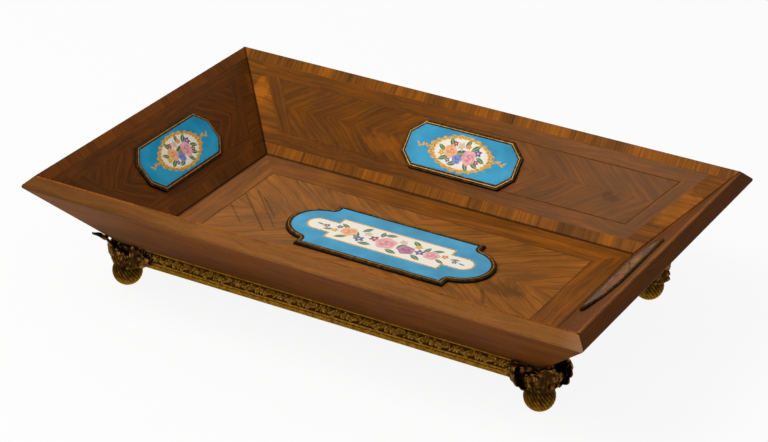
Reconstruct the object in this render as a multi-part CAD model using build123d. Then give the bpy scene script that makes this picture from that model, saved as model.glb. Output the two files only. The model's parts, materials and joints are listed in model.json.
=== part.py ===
from build123d import *
from math import atan2, cos, hypot, sin
import os

# A rectangular desk tray: four sloping veneered walls on a flat base, five porcelain plaques in
# brass frames, a cast strip round the base, leafy corner mounts and four ball feet.
# All sizes are in millimetres. +X is the tray's length, +Z is up, and the origin lies on the
# table below the middle of the tray.

# Tray well
floor_length = 295.0
floor_width = 158.6
wall_rise = 55.6
wall_flare = 52.5

# Wood
board = 8.7
veneer = 0.9
lipping = 2.6
rim_outer_round = 2.0
base_thickness = 13.7

# Veneer bands, each width measured square to the band
crossband_top = 8.0
crossband_foot = 9.0
crossband_end = 12.5
banding_top = 9.6
banding_foot = 10.0
banding_end = 9.0
stringing = 0.8
floor_banding_side = 24.0
floor_banding_end = 20.0

# Plaques: the frame's outer size, and where a wall's plaque sits up the slope
wall_frame_length = 92.0
wall_frame_height = 38.4
wall_frame_corner = 10.5
wall_plaque_up = 37.2
floor_frame_length = 159.0
floor_frame_width = 66.0
floor_frame_middle = 115.0
floor_frame_lobe = 24.3
floor_notch_round = 2.5
frame_width = 4.0
frame_lap = 0.8
frame_crest = 3.3
frame_outer_bevel = 1.1
frame_inner_bevel = 0.7
plaque_proud = 2.2
plaque_depth = 1.8
plaque_clearance = 0.15

# Cast strip round the base
strip_thickness = 2.4
strip_setback = 0.6
strip_fillet = 1.2
strip_foot = 3.0
strip_ground = 1.1
strip_tuck = 2.5
strip_bulge = 0.25
strip_slope = 0.9
strip_hollow = 1.6
strip_lip = 0.4
strip_arris = 0.5
strip_pin_width = 1.1
strip_pin_proud = 0.4
strip_pin_pitch = 72.0

# Ball feet and their studs
ball_radius = 10.6
ball_flat = 0.35
ball_drop = 9.5
gadroons = 14
gadroon_lean = 26.0
gadroon_depth = 1.2
foot_inset_end = 3.1
foot_inset_side = 5.9
stud_radius = 2.1
stud_in_ball = 9.0
stud_end_gap = 1.0
stud_short = 0.4
stud_clearance = 0.05

# Corner mounts: the wings' reach from the base's corner, and the plate below the base
mount_reach = 21.5
mount_proud = 1.9
mount_skirt = 2.9
mount_tab = 16.0
mount_tab_bevel = 4.0
collar_radius = 11.2
wing_gap = 0.3
cushion_radius = 26.0

# A wing's outline from the corner, along its foot to the tip and back along its top, as shares
# of its reach and height
wing_outline = [
    (-0.2, 0.06), (0.30, 0.04), (0.44, 0.14), (0.66, 0.04), (0.84, 0.16), (0.78, 0.36),
    (1.0, 0.58), (0.80, 0.74), (0.66, 0.98), (0.50, 0.84), (0.32, 0.97), (-0.2, 0.92),
]

# The corner leaf and the two side leaves: the turn about the ball's axis, the reach from it, the
# rise above the base and the half width. The outer and inner curves of the side view run from
# root to tip in arcs, each through three points, and one edge of the toothed outline runs up from
# the root. Both are shares of those sizes.
corner_leaf = {
    "turn": -50.0,
    "reach": 23.7,
    "rise": 10.0,
    "half_width": 6.5,
    "outer": [(0.38, 0.0), (0.50, 0.33), (0.52, 0.60), (0.68, 0.775), (1.0, 0.96)],
    "inner": [(0.22, 0.0), (0.36, 0.35), (0.40, 0.61), (0.60, 0.83), (0.98, 1.0)],
    "edge": [
        (0.70, 0.0), (1.0, 0.34), (0.74, 0.40), (0.94, 0.60),
        (0.62, 0.66), (0.68, 0.82), (0.30, 0.86), (0.12, 1.0),
    ],
}
side_leaf = {
    "turn": 80.0,
    "reach": 20.2,
    "rise": 3.2,
    "half_width": 7.5,
    "outer": [(0.45, 0.0), (0.97, 0.45), (0.87, 0.975)],
    "inner": [(0.45, 0.12), (0.87, 0.48), (0.80, 0.90)],
    "edge": [(0.80, 0.0), (1.0, 0.42), (0.66, 0.54), (0.76, 0.80), (0.22, 1.0)],
}

# Square pins on the frames' backs, and those that hold a mount's wings, as shares of the reach
pin_width = 1.2
pin_length = 6.0
wing_pin_at = 0.55

# Heights and slopes that follow from the sizes above
ball_z = ball_radius - ball_flat
base_z = ball_z + ball_drop
base_top = base_z + base_thickness
floor_z = base_top + veneer
slope = atan2(wall_rise, wall_flare)
slant = hypot(wall_rise, wall_flare)
wall_thickness = veneer + board + veneer

# A band's width along the tray's side for each millimetre of its width along the sloped mitre
end_skew = hypot(1, cos(slope))

# How far the outer face's foot stands out from the floor's edge, and the base inside it
foot_overhang = (wall_thickness - veneer * cos(slope)) / sin(slope)
strip_face = foot_overhang - strip_setback
base_edge = strip_face - strip_thickness

# The sides in turn about the tray from +X, and the signs of x and y at each corner
half_length = floor_length / 2
half_width = floor_width / 2
sides = ("right", "back", "left", "front")
corners = {
    "front_right": (1, -1),
    "back_right": (1, 1),
    "back_left": (-1, 1),
    "front_left": (-1, -1),
}
pocket_depth = veneer + plaque_depth

# How far round the middle of a quarter circle lies from each of its ends, as a share of its radius
quarter_middle = 1 - 0.5 ** 0.5

# Longer than any cut has to reach, a margin off an edge, and how a solid stands or hangs
beyond = 120.0
margin = 1.0
stood = (Align.CENTER, Align.CENTER, Align.MIN)
hung = (Align.CENTER, Align.CENTER, Align.MAX)


def side_place(side):
    """The turn that brings a side from +X, the floor's half size towards it and along it."""
    index = sides.index(side)
    if index % 2 == 0:
        return 90 * index, half_length, half_width
    return 90 * index, half_width, half_length


def turned(shape, angle):
    """The shape turned about the tray's upright middle axis."""
    return Rot(0, 0, angle) * shape


def on_wall(reach, up, deep):
    """A point of a wall's section, up the slope from the floor's edge and deep into the wall."""
    x = reach + up * cos(slope) + deep * sin(slope)
    z = floor_z + up * sin(slope) - deep * cos(slope)
    return (x, z)


def up_at_base(deep):
    """How far up the slope a layer that lies deep in the wall meets the base's top."""
    return (deep * cos(slope) - veneer) / sin(slope)


def section(points):
    """A flat face drawn in the X-Z plane."""
    return make_face(Polyline([(x, 0, z) for x, z in points], close=True))


def mitre_prism(reach, run, inset):
    """What lies between the two upright mitre planes of a side, each moved in by the inset."""
    near = min(reach, run) - margin
    low = run - inset - near
    high = run - inset + beyond
    plan = Polyline(
        [(reach - near, -low), (reach + beyond, -high), (reach + beyond, high), (reach - near, low)],
        close=True,
    )
    return extrude(make_face(plan), beyond)


def along_side(face, reach, run, inset=0.0):
    """A section carried along its side and cut at the mitres."""
    bar = extrude(face, run + beyond, both=True)
    return bar & mitre_prism(reach, run, inset)


def slab(reach, up_from, up_to, deep_from, deep_to):
    """The section of a layer of a wall, square to its face at both ends."""
    return section([
        on_wall(reach, up_from, deep_from),
        on_wall(reach, up_to, deep_from),
        on_wall(reach, up_to, deep_to),
        on_wall(reach, up_from, deep_to),
    ])


def based_slab(reach, up_to, deep_from, deep_to):
    """The section of a layer of a wall that stands on the base's top."""
    return section([
        on_wall(reach, up_at_base(deep_from), deep_from),
        on_wall(reach, up_to, deep_from),
        on_wall(reach, up_to, deep_to),
        on_wall(reach, up_at_base(deep_to), deep_to),
    ])


def foot_slab(reach, up_to):
    """The section of the lowest inner veneer, which meets the floor's veneer face to face."""
    return section([
        (reach, base_top),
        (reach, floor_z),
        on_wall(reach, up_to, 0),
        on_wall(reach, up_to, veneer),
        on_wall(reach, up_at_base(veneer), veneer),
    ])


def wall_plane(reach):
    """The plane of a wall's inner face at its plaque: x along the tray's side, z out of the wall."""
    x, z = on_wall(reach, wall_plaque_up, 0)
    normal = (-sin(slope), 0, cos(slope))
    return Plane(origin=(x, 0, z), x_dir=(0, 1, 0), z_dir=normal)


def floor_plane():
    """The plane of the floor's face at its plaque."""
    return Plane(origin=(0, 0, floor_z))


# Plaque outlines and their frames

def octagon(shrink):
    """The wall frame's long octagon, drawn in by shrink all round."""
    length = wall_frame_length / 2 - shrink
    height = wall_frame_height / 2 - shrink
    corner = wall_frame_corner - shrink * (2 - 2 ** 0.5)
    quarter = [(length, height - corner), (length - corner, height)]
    half = quarter + [(-x, y) for x, y in reversed(quarter)]
    return make_face(Polyline(half + [(-x, -y) for x, y in half], close=True))


def lobed(shrink):
    """The floor frame's outline: a rectangle with a narrower round lobe at each end."""
    middle = Rectangle(floor_frame_middle - 2 * shrink, floor_frame_width - 2 * shrink)
    centre = floor_frame_length / 2 - floor_frame_lobe
    lobes = [Pos(side * centre, 0) * Circle(floor_frame_lobe - shrink) for side in (-1, 1)]
    outline = middle + lobes
    edge = floor_frame_width / 2 - shrink
    inner = [v for v in outline.vertices() if abs(v.Y) < edge - margin]
    return fillet(inner, floor_notch_round + shrink)


def frame(outline):
    """A brass frame with bevelled edges, whose inner lip laps over the porcelain."""
    seat = frame_width - frame_lap
    band = extrude(outline(0) - outline(seat), frame_crest)
    lip = extrude(outline(seat) - outline(frame_width), frame_crest - plaque_proud)
    ring = band + Pos(0, 0, plaque_proud) * lip
    ring = bevelled(ring, True, frame_outer_bevel)
    return bevelled(ring, False, frame_inner_bevel)


def bevelled(ring, outermost, bevel):
    """A flat ring with the outer or the inner edge of its top face bevelled."""
    top = ring.faces().sort_by(Axis.Z)[-1]
    edges = top.outer_wire().edges() if outermost else top.inner_wires()[0].edges()
    return chamfer(edges, bevel)


def porcelain(outline):
    """A porcelain plaque, from the pocket's floor to its face."""
    face = outline(frame_width - frame_lap + plaque_clearance)
    return Pos(0, 0, -pocket_depth) * extrude(face, pocket_depth + plaque_proud)


def pocket(outline):
    """The space that a plaque takes in the wood below it."""
    return Pos(0, 0, -pocket_depth) * extrude(outline(frame_width - frame_lap), pocket_depth)


def octagon_pin():
    """Where the first pin on a wall frame's back stands: the middle of a corner's slanted side."""
    step = wall_frame_corner / 2 + (frame_width - frame_lap) / 2 ** 1.5
    return (wall_frame_length / 2 - step, wall_frame_height / 2 - step)


def lobed_pin():
    """Where the first pin on the floor frame's back stands: a corner of its middle part."""
    step = (frame_width - frame_lap) / 2
    return (floor_frame_middle / 2 - step, floor_frame_width / 2 - step)


def back_pins(first):
    """The four pins that stand out of a frame's back and hold it in the wood."""
    shank = Box(pin_width, pin_width, pin_length, align=hung)
    return [Pos(sx * first[0], sy * first[1], 0) * shank for sx in (-1, 1) for sy in (-1, 1)]


# Walls

def field_leaves(reach, run, hole):
    """A wall's four matched leaves of veneer, cut for the plaque."""
    low = crossband_foot + banding_foot + stringing
    high = slant - crossband_top - banding_top - stringing
    middle = (low + high) / 2
    inset = (crossband_end + banding_end + stringing) * end_skew
    leaves = []
    for up_from, up_to in ((low, middle), (middle, high)):
        row = along_side(slab(reach, up_from, up_to, 0, veneer), reach, run, inset) - hole
        leaves += list(row - keep(-1)) + list(row - keep(1))
    return leaves


def keep(direction):
    """Everything on one side of the middle of a wall, across its run."""
    size = beyond * 6
    return Pos(0, direction * size / 2, 0) * Box(size, size, size)


def band_strips(reach, run, foot, top, outer_end, width_foot, width_top, width_end):
    """Four strips of a wall's border: foot and top run through, the ends fit between them."""
    inset = outer_end * end_skew
    inner = (outer_end + width_end) * end_skew
    if foot == 0:
        foot_face = foot_slab(reach, width_foot)
    else:
        foot_face = slab(reach, foot, foot + width_foot, 0, veneer)
    strips = [
        along_side(foot_face, reach, run, inset),
        along_side(slab(reach, top - width_top, top, 0, veneer), reach, run, inset),
    ]
    between = slab(reach, foot + width_foot, top - width_top, 0, veneer)
    ends = along_side(between, reach, run, inset) - mitre_prism(reach, run, inner)
    return strips + ends.solids()


def wall_parts(side):
    """Every piece of one wall, by the name of its node."""
    angle, reach, run = side_place(side)
    place = wall_plane(reach)
    hole = place * pocket(octagon)
    pins = [place * pin for pin in back_pins(octagon_pin())]
    face_top = slant - lipping
    crossband = band_strips(
        reach, run, 0, slant, 0, crossband_foot, crossband_top, crossband_end
    )
    banding = band_strips(
        reach, run, crossband_foot, slant - crossband_top, crossband_end,
        banding_foot, banding_top, banding_end,
    )
    lines = band_strips(
        reach, run, crossband_foot + banding_foot, slant - crossband_top - banding_top,
        crossband_end + banding_end, stringing, stringing, stringing,
    )
    field = field_leaves(reach, run, hole)
    wood = along_side(based_slab(reach, face_top, veneer, veneer + board), reach, run)
    outer = along_side(based_slab(reach, face_top, veneer + board, wall_thickness), reach, run)
    parts = {
        "wall_board": cut_all([wood], pins + [hole]),
        "outer_veneer": [outer],
        "inner_crossband": crossband,
        "inner_banding": banding,
        "inner_field": cut_all(field, pins),
        "rim_lipping": [rim_strip(reach, run)],
        "plaque_frame": [place * frame(octagon)],
        "plaque": [place * porcelain(octagon)],
    }
    loose = {"wall_stringing": lines, "frame_pins": pins}
    named = {name + "_" + side: turn_all(shapes, angle) for name, shapes in parts.items()}
    return named, {name: turn_all(shapes, angle) for name, shapes in loose.items()}


def rim_strip(reach, run):
    """The square-cut rim's lipping, behind the inner veneer, with its outer arris well rounded."""
    face = slab(reach, slant - lipping, slant, veneer, wall_thickness)
    outer_point = on_wall(reach, slant, wall_thickness)
    face = fillet(corner_at(face, outer_point), rim_outer_round)
    return along_side(face, reach, run)


def corner_at(face, point):
    """The corner of a section nearest to a point given as (x, z)."""
    return min(face.vertices(), key=lambda v: hypot(v.X - point[0], v.Z - point[1]))


def turn_all(shapes, angle):
    """Each shape turned about the tray's middle."""
    return [turned(shape, angle) for shape in shapes]


def cut_all(shapes, tools):
    """Each shape with all of the tools cut away."""
    result = []
    for shape in shapes:
        for tool in tools:
            shape = shape - tool
        result.append(shape)
    return result


# Floor and base

def floor_parts():
    """The floor's veneers, plaque and frame."""
    place = floor_plane()
    hole = place * pocket(lobed)
    pins = [place * pin for pin in back_pins(lobed_pin())]
    outer = Rectangle(floor_length, floor_width)
    middle = Rectangle(floor_length - 2 * floor_banding_end, floor_width - 2 * floor_banding_side)
    inset_end = floor_banding_end + stringing
    inset_side = floor_banding_side + stringing
    inner = Rectangle(floor_length - 2 * inset_end, floor_width - 2 * inset_side)
    banding = mitred_ring(outer, middle)
    lines = mitred_ring(middle, inner)
    quarter = Rectangle(floor_length / 2 - inset_end, floor_width / 2 - inset_side, align=Align.MIN)
    leaves = []
    for sx, sy in ((0, 0), (1, 0), (0, 1), (1, 1)):
        leaf = quarter
        if sx:
            leaf = mirror(leaf, Plane.YZ)
        if sy:
            leaf = mirror(leaf, Plane.XZ)
        leaves.append(thick(leaf) - hole)
    parts = {
        "floor_banding": banding,
        "floor_stringing": lines,
        "floor_field": cut_all(leaves, pins),
        "plaque_frame_floor": [place * frame(lobed)],
        "plaque_floor": [place * porcelain(lobed)],
    }
    return parts, {"frame_pins": pins}


def thick(face):
    """A veneer of the floor, lying on the base's top."""
    solid = extrude(face, veneer)
    low = solid.bounding_box().min.Z
    return Pos(0, 0, base_top - low) * solid


def mitred_ring(outer, inner):
    """The four strips between two rectangles, mitred at the corners."""
    a = outer.bounding_box().max
    b = inner.bounding_box().max
    strips = []
    for turn in range(4):
        ax, ay, bx, by = (a.X, a.Y, b.X, b.Y) if turn % 2 == 0 else (a.Y, a.X, b.Y, b.X)
        face = make_face(Polyline([(bx, -by), (ax, -ay), (ax, ay), (bx, by)], close=True))
        strips.append(turned(thick(face), 90 * turn))
    return strips


def base_panel(drills):
    """The wooden base, with the floor plaque's pocket sunk in it."""
    length = 2 * (half_length + base_edge)
    width = 2 * (half_width + base_edge)
    panel = Box(length, width, base_thickness, align=(Align.CENTER, Align.CENTER, Align.MIN))
    panel = Pos(0, 0, base_z) * panel
    panel -= floor_plane() * pocket(lobed)
    return cut_all([panel], drills)[0]


def strip_section(reach):
    """The cast strip's section: top fillet, sunk ground, a hollow below it and a bevelled foot."""
    back = reach + base_edge
    face = reach + strip_face
    ground = back + strip_ground
    fillet_low = base_top - strip_fillet
    ground_high = fillet_low - strip_slope
    foot_high = base_z + strip_foot
    ground_low = foot_high + strip_hollow
    lip = face - strip_lip
    fillet_arc = ThreePointArc(
        (face, 0, base_top),
        (face + strip_bulge, 0, base_top - strip_fillet / 2),
        (face, 0, fillet_low),
    )
    hollow_arc = ThreePointArc(
        (ground, 0, ground_low),
        (ground + quarter_middle * (lip - ground), 0, foot_high + quarter_middle * strip_hollow),
        (lip, 0, foot_high),
    )
    above = Polyline([(back, 0, base_z), (back, 0, base_top), (face, 0, base_top)])
    between = Polyline([(face, 0, fillet_low), (ground, 0, ground_high), (ground, 0, ground_low)])
    below = Polyline([
        (lip, 0, foot_high),
        (face, 0, foot_high - strip_arris),
        (face, 0, base_z + strip_arris),
        (face - strip_arris, 0, base_z),
        (back, 0, base_z),
    ])
    return make_face(Curve() + [above, fillet_arc, between, hollow_arc, below])


def strip(side):
    """One run of the cast strip, ending under the corner mounts' wings."""
    angle, reach, run = side_place(side)
    bar = extrude(strip_section(reach), run + base_edge - mount_reach + strip_tuck, both=True)
    return turned(bar, angle)


def strip_room(side):
    """The plain room that a mount's wing leaves for the end of a strip behind it."""
    angle, reach, run = side_place(side)
    room = Box(
        strip_thickness + strip_bulge, 2 * (run + base_edge - mount_reach + strip_tuck), base_thickness,
        align=(Align.MIN, Align.CENTER, Align.MIN),
    )
    return turned(Pos(reach + base_edge, 0, base_z) * room, angle)


def strip_pins(side):
    """The square pins of one run of the strip and of the mounts' wings beside it."""
    angle, reach, run = side_place(side)
    count = 2 * round((run - mount_reach) / strip_pin_pitch)
    height = base_z + strip_foot + (base_thickness - strip_foot - strip_fillet) / 2
    pin = Box(pin_length, strip_pin_width, strip_pin_width, align=(Align.MAX, Align.CENTER, Align.CENTER))
    on_ground = reach + base_edge + strip_ground + strip_pin_proud
    pins = [Pos(on_ground, (i - (count - 1) / 2) * strip_pin_pitch, height) * pin for i in range(count)]
    on_wing = reach + base_edge + strip_thickness + mount_proud + wing_gap
    for end in (-1, 1):
        pins.append(Pos(on_wing, end * (run + base_edge - wing_pin_at * mount_reach), height) * pin)
    return turn_all(pins, angle)


# Ball feet

def ball_foot():
    """A ball with swirled gadroons between V notches, cut flat at its foot and at its mount."""
    notch_side = gadroon_depth * 2 ** 0.5
    notch = Rot(0, 0, 45) * Box(notch_side, notch_side, 3 * ball_radius)
    notch = Rot(gadroon_lean, 0, 0) * Pos(ball_radius, 0, 0) * notch
    ball = Sphere(ball_radius)
    for count in range(gadroons):
        ball -= Rot(0, 0, count * 360 / gadroons) * notch
    below = Cylinder(2 * ball_radius, ball_radius, align=hung)
    above = Cylinder(2 * ball_radius, ball_radius, align=stood)
    ball = ball - Pos(0, 0, -ball_z) * below - Pos(0, 0, ball_drop - mount_skirt) * above
    bore = Cylinder(stud_radius + stud_clearance, stud_in_ball, align=hung)
    return ball - Pos(0, 0, ball_drop - mount_skirt) * bore


def foot_place(sx, sy):
    """The centre of a corner's ball."""
    x = half_length + foot_overhang - foot_inset_end
    y = half_width + foot_overhang - foot_inset_side
    return Pos(sx * x, sy * y, ball_z)


def stud(radius):
    """The stud that holds a ball to its mount."""
    length = stud_in_ball - stud_end_gap + mount_skirt - stud_short
    rod = Cylinder(radius, length, align=hung)
    return Pos(0, 0, ball_drop - stud_short) * rod


# Corner mounts, made at the front right with the ball's axis at x = y = 0, and mirrored

def leaf(shape):
    """A cast leaf pointing along +X: a curved blade with a toothed outline."""
    low = base_z - mount_skirt
    rise = base_top + shape["rise"] - low
    half = shape["half_width"]
    outer = [(x * shape["reach"], 0, low + z * rise) for x, z in shape["outer"]]
    inner = [(x * shape["reach"], 0, low + z * rise) for x, z in shape["inner"]]
    edge = [(across * half, low + up * rise) for across, up in shape["edge"]]
    outline = make_face(Polyline(edge + [(-x, z) for x, z in reversed(edge)], close=True))
    return leaf_blade(outer, inner, half) & extrude(Plane.YZ * outline, 2 * shape["reach"])


def leaf_blade(outer, inner, half_width):
    """A blade between the outer and the inner curve of its side view."""
    lines = arcs(outer) + [Line(outer[-1], inner[-1])] + arcs(inner) + [Line(inner[0], outer[0])]
    return extrude(make_face(Curve() + lines), half_width, both=True)


def arcs(points):
    """Arcs that follow one another, each through three of the points."""
    return [ThreePointArc(*points[i:i + 3]) for i in range(0, len(points) - 2, 2)]


def wing():
    """One arm of a mount, lying along the base's front from the corner towards -X."""
    low = base_z - mount_skirt
    high = base_top - wing_gap
    mid = (low + high) / 2
    thickness = strip_thickness + mount_proud
    outline = [(-along * mount_reach, low + up * (high - low)) for along, up in wing_outline]
    block = extrude(Plane.XZ * make_face(Polyline(outline, close=True)), thickness)
    cushion = Rot(0, 90, 0) * Cylinder(cushion_radius, 4 * mount_reach)
    return block & Pos(0, cushion_radius - thickness, mid) * cushion


def corner_mount(fittings):
    """The front right mount: two wings, a plate under the base, and three leaves."""
    corner_x = half_length + base_edge
    corner_y = -half_width - base_edge
    front = wing()
    arms = Pos(corner_x, corner_y, 0) * (front + mirror(front, Plane((0, 0, 0), z_dir=(1, 1, 0))))
    axis = foot_place(1, -1).position
    low = base_z - mount_skirt
    collar = Pos(axis.X, axis.Y, low) * extrude(RegularPolygon(collar_radius, 8), mount_skirt)
    tab = Box(mount_tab, mount_tab, mount_skirt, align=(Align.MAX, Align.MIN, Align.MIN))
    tab = chamfer(tab.edges().filter_by(Axis.Z).sort_by(Axis.X)[0], mount_tab_bevel)
    mount = arms + collar + Pos(corner_x, corner_y, low) * tab
    leaves = [Rot(0, 0, corner_leaf["turn"]) * leaf(corner_leaf)]
    for side in (-1, 1):
        leaves.append(Rot(0, 0, corner_leaf["turn"] + side * side_leaf["turn"]) * leaf(side_leaf))
    for blade in leaves:
        mount += Pos(axis.X, axis.Y, 0) * blade
    return cut_all([mount], fittings)[0]


def mirrored(shape, sx, sy):
    """A shape made at the front right, moved to another corner by mirroring."""
    if sx < 0:
        shape = mirror(shape, Plane.YZ)
    if sy > 0:
        shape = mirror(shape, Plane.XZ)
    return shape


def fitted_corners():
    """The mounts, balls and studs of the four corners."""
    rooms = [strip_room("front"), strip_room("right")]
    body = Pos(0, 0, base_z) * Box(
        2 * (half_length + base_edge), 2 * (half_width + base_edge), base_thickness, align=stood
    )
    drill = foot_place(1, -1) * stud(stud_radius + stud_clearance)
    pins = strip_pins("front") + strip_pins("right")
    mount = corner_mount(rooms + [body, drill] + pins)
    mounts = {"corner_mount_" + name: [mirrored(mount, sx, sy)] for name, (sx, sy) in corners.items()}
    ball = ball_foot()
    rod = stud(stud_radius)
    balls = [foot_place(sx, sy) * ball for sx, sy in corners.values()]
    studs = [foot_place(sx, sy) * rod for sx, sy in corners.values()]
    return mounts, {"foot_balls": balls, "foot_studs": studs}


# The whole tray

def build():
    """Every node's solids, by name."""
    nodes = {}
    groups = {}
    made = [wall_parts(side) for side in sides] + [floor_parts(), fitted_corners()]
    for side in sides:
        pins = strip_pins(side)
        made.append(({"base_moulding_" + side: cut_all([strip(side)], pins)}, {"moulding_pins": pins}))
    for parts, loose in made:
        nodes.update(parts)
        for name, shapes in loose.items():
            groups.setdefault(name, []).extend(shapes)
    in_base = groups["frame_pins"][-4:] + groups["moulding_pins"]
    nodes["base_panel"] = [base_panel(in_base)]
    nodes.update(groups)
    return nodes


def save(name, shapes):
    """Writes one node's solids to its file."""
    solids = [solid for shape in shapes for solid in shape.solids()]
    shape = solids[0] if len(solids) == 1 else Compound(solids)
    export_step(shape, os.path.join("parts", name + ".step"))


os.makedirs("parts", exist_ok=True)
for name, shapes in build().items():
    save(name, shapes)
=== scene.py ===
import json
from math import atan2, cos, hypot, pi, radians, sin

import bpy
from mathutils import Matrix, Vector


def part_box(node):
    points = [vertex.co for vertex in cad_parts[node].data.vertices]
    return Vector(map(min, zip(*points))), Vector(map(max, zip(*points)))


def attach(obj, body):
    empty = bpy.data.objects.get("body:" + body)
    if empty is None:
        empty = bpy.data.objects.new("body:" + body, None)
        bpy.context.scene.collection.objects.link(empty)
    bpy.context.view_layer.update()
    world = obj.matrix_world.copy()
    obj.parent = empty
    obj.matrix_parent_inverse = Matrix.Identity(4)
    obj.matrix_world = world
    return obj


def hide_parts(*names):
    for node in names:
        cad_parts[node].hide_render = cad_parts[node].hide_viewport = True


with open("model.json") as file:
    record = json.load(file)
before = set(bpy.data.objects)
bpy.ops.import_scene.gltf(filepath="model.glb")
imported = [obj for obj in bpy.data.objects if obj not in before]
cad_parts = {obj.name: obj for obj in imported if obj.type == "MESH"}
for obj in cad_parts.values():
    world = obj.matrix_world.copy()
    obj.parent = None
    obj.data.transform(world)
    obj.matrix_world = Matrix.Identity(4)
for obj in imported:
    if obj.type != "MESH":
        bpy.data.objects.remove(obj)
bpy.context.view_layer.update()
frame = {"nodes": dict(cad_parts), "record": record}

# A veneered desk tray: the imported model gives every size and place, and this script gives it wood,
# painted porcelain and aged gilt metal, a floor, lights and a camera.

mm = 0.001

# Sizes of the tray's well, read from the frame, in millimetres
floor_top = [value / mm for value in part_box("floor_banding")[1]]
wall_top = [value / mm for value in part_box("inner_crossband_right")[1]]
half_length, half_width, floor_z = floor_top
flare = wall_top[0] - half_length
rise = wall_top[2] - floor_z
slope = atan2(rise, flare)
slant = hypot(rise, flare)
mitre_lean = atan2(flare, slant)

sides = ("front", "back", "left", "right")

# Widths of the veneer bands, as in the model
crossband_foot = 9.0
crossband_top = 8.0
banding_foot = 10.0
banding_top = 9.6
floor_banding_side = 24.0
floor_banding_end = 20.0
wall_plaque_up = 37.2

# The camera, from its fit to the tray's corners in the photograph
photo_width = 768
focal_pixels = 2425
sensor_width = 36
camera_place = (693.23, -1304.30, 805.27)
camera_yaw = radians(28.166)
camera_pitch = radians(26.969)
camera_roll = radians(1.979)


# Shader expressions

class Wire:
    """A node's output that takes part in sums, so that an expression adds its Math nodes."""

    def __init__(self, paint, socket):
        self.paint = paint
        self.socket = socket

    def math(self, operation, *values):
        return self.paint.node("Math", {"operation": operation}, [self, *values])

    def __add__(self, other):
        return self.math("ADD", other)

    def __sub__(self, other):
        return self.math("SUBTRACT", other)

    def __mul__(self, other):
        return self.math("MULTIPLY", other)

    def __truediv__(self, other):
        return self.math("DIVIDE", other)

    def __lt__(self, other):
        return self.math("LESS_THAN", other)

    def __gt__(self, other):
        return self.math("GREATER_THAN", other)

    def __neg__(self):
        return self.math("MULTIPLY", -1)

    def __abs__(self):
        return self.math("ABSOLUTE")

    def __rsub__(self, other):
        return self.paint.node("Math", {"operation": "SUBTRACT"}, [other, self])

    __radd__ = __add__
    __rmul__ = __mul__


class Paint:
    """The nodes of one material, or of the world."""

    def __init__(self, owner):
        self.owner = owner
        owner.use_nodes = True
        self.tree = owner.node_tree
        self.tree.nodes.clear()

    def node(self, kind, settings=None, values=None, output=0):
        """A node with its settings, its sockets' values or links, and one of its outputs."""
        made = self.tree.nodes.new("ShaderNode" + kind)
        for name, value in (settings or {}).items():
            if name == "stops":
                set_stops(made.color_ramp, value)
            else:
                setattr(made, name, value)
        pairs = values.items() if isinstance(values, dict) else enumerate(values or [])
        for key, value in pairs:
            if isinstance(value, Wire):
                self.tree.links.new(value.socket, made.inputs[key])
            else:
                made.inputs[key].default_value = value
        return Wire(self, made.outputs[output]) if made.outputs else None

    def place(self):
        """The point on the object, as x, y and z in millimetres."""
        point = self.node("TexCoord", output="Object")
        values = {0: point, "Scale": 1 / mm}
        scaled = self.node("VectorMath", {"operation": "SCALE"}, values)
        return [self.node("SeparateXYZ", None, [scaled], axis) for axis in range(3)]

    def point(self, x, y, z):
        """A vector of three numbers or wires."""
        return self.node("CombineXYZ", None, [x, y, z])

    def noise(self, x, y, z=0.0, detail=0.0, rough=0.5):
        """Smooth noise, about 0.5, whose grain is one unit of x, y and z."""
        values = {"Vector": self.point(x, y, z), "Scale": 1.0, "Detail": detail, "Roughness": rough}
        return self.node("TexNoise", None, values)

    def chance(self, x, y=0.0):
        """A random number from 0 to 1 for each pair of whole numbers."""
        values = {"Vector": self.point(x, y, 0.0)}
        return self.node("TexWhiteNoise", {"noise_dimensions": "2D"}, values)

    def step(self, value, low, high):
        """0 below low, 1 above high and a smooth rise between them."""
        settings = {"interpolation_type": "SMOOTHSTEP"}
        return self.node("MapRange", settings, {0: value, 1: low, 2: high})

    def ramp(self, value, stops):
        """The colour that a ramp's stops give a value."""
        return self.node("ValToRGB", {"stops": stops}, [value])

    def mix(self, share, first, second, blend="MIX"):
        """The first colour, covered or multiplied by the second as far as the share says."""
        settings = {"data_type": "RGBA", "blend_type": blend}
        return self.node("Mix", settings, {0: share, 6: wide(first), 7: wide(second)}, 2)

    def bump(self, height, depth, strength):
        """A bump whose height of 1 is that many millimetres."""
        values = {"Height": height, "Distance": depth * mm, "Strength": strength}
        return self.node("Bump", None, values)

    def finish(self, values):
        """Ends the material with a Principled shader and gives the material."""
        shader = self.node("BsdfPrincipled", None, values)
        self.node("OutputMaterial", None, [shader])
        return self.owner


def new_paint(name):
    """A material whose nodes are still to come."""
    return Paint(bpy.data.materials.new(name))


def set_stops(ramp, stops):
    """Gives a ramp its places and their colours."""
    while len(ramp.elements) < len(stops):
        ramp.elements.new(0.5)
    for element, (place, colour) in zip(ramp.elements, stops):
        element.position = place
        element.color = (*colour, 1)


def wide(colour):
    """A colour with its alpha, or a wire as it is."""
    return colour if isinstance(colour, Wire) else (*colour, 1)


def tone(red, green, blue):
    """A colour given as it shows on a screen, from 0 to 255, as the shader's linear one."""
    shares = [value / 255 for value in (red, green, blue)]
    return tuple(s / 12.92 if s <= 0.04045 else ((s + 0.055) / 1.055) ** 2.4 for s in shares)


# Woods

def tones(red, green, blue, spread):
    """A ramp's stops about one colour, from dark streaks to pale ones."""
    stops = []
    for place, offset in ((0.28, -1), (0.44, -0.3), (0.56, 0.25), (0.74, 1)):
        share = 1 + spread * offset
        stops.append((place, tone(*[min(value * share, 255) for value in (red, green, blue)])))
    return stops


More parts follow.
